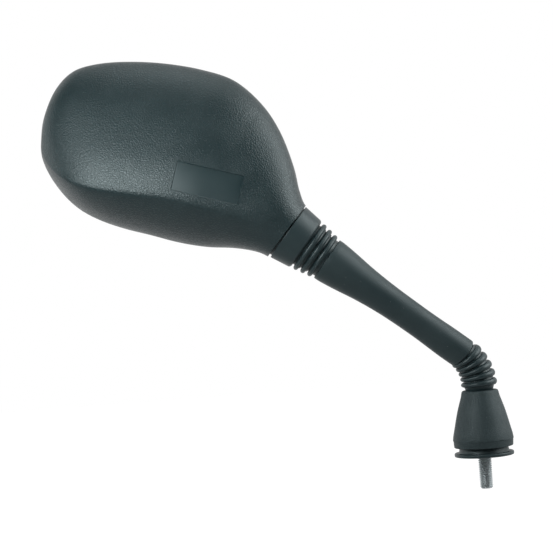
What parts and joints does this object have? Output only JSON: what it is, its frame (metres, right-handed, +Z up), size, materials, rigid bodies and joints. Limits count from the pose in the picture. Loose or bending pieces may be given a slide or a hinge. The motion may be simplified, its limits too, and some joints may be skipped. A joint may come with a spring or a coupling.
{
  "type": "motorcycle rear-view mirror",
  "caption": "Right-hand handlebar mirror: convex glass in a moulded head on a ball joint, bellows-covered tapering stem, knuckle and swivel foot with threaded stud.",
  "frame": {"origin": "centre of the underside of the foot flange, on the axis of the fixing stud, where the foot meets the handlebar or lever clamp", "axes": "+Z runs up along the fixing stud's axis, +Y is the side that the mirror glass faces, towards the rider, and the stem leans to -X"},
  "size_m": [0.2657, 0.0451, 0.2681],
  "materials": {
    "grained_plastic": "black moulded plastic with a fine leather-like grain, slightly glossy",
    "sleeve_plastic": "smooth satin black, rubbery",
    "boot_rubber": "smooth satin black rubber",
    "cone_plastic": "black moulded plastic with a fine matt grain",
    "foot_rubber": "smooth black rubber",
    "carrier_plastic": "plain black moulded plastic",
    "white_nylon": "natural nylon",
    "zinc_steel": "bright zinc-plated steel",
    "spring_steel": "oiled spring steel",
    "cast_zinc": "as-cast light alloy, matt grey",
    "grey_foam": "closed-cell foam, matt",
    "mirror_glass": "silvered convex glass, polished edge"
  },
  "bodies": {
    "foot": {"mount_stud": "zinc_steel", "foot_gasket": "foot_rubber", "swivel_washer": "white_nylon", "disc_springs": "spring_steel", "swivel_nut": "zinc_steel"},
    "base": {"swivel_yoke": "cast_zinc", "base_cone": "cone_plastic", "knuckle_rivet": "zinc_steel", "knuckle_washers": "white_nylon", "lower_boot": "boot_rubber"},
    "arm": {"stem_rod": "zinc_steel", "stem_ball": "zinc_steel", "arm_sleeve": "sleeve_plastic", "sleeve_bush": "white_nylon"},
    "ball_ring": {"seat_ring": "white_nylon"},
    "ball_cup": {"seat_cup": "white_nylon"},
    "head": {"neck_socket": "cast_zinc", "socket_spring": "spring_steel", "socket_plug": "zinc_steel", "upper_boot": "boot_rubber", "head_shell": "grained_plastic", "socket_screws": "zinc_steel", "glass_carrier": "carrier_plastic", "carrier_screws": "zinc_steel", "foam_pad": "grey_foam", "mirror_glass": "mirror_glass"}
  },
  "joints": [
    {"name": "base_swivel", "type": "hinge", "parent": "foot", "child": "base", "pos_m": [0, 0, 0.007], "axis": [0, 0, 1], "continuous": true},
    {"name": "stem_tilt", "type": "hinge", "parent": "base", "child": "arm", "pos_m": [-0.00301, 0, 0.05055], "axis": [0, 1, 0], "range_deg": [-15, 25], "deforming": ["lower_boot"]},
    {"name": "head_twist", "type": "hinge", "parent": "arm", "child": "ball_ring", "pos_m": [-0.09015, 0, 0.127], "axis": [-0.7771, 0, 0.6293], "range_deg": [-25, 25], "deforming": ["upper_boot"]},
    {"name": "head_tip", "type": "hinge", "parent": "ball_ring", "child": "ball_cup", "pos_m": [-0.09015, 0, 0.127], "axis": [0, 1, 0], "range_deg": [-12, 12]},
    {"name": "head_turn", "type": "hinge", "parent": "ball_cup", "child": "head", "pos_m": [-0.09015, 0, 0.127], "axis": [0.6293, 0, 0.7771], "range_deg": [-14, 14]}
  ]
}
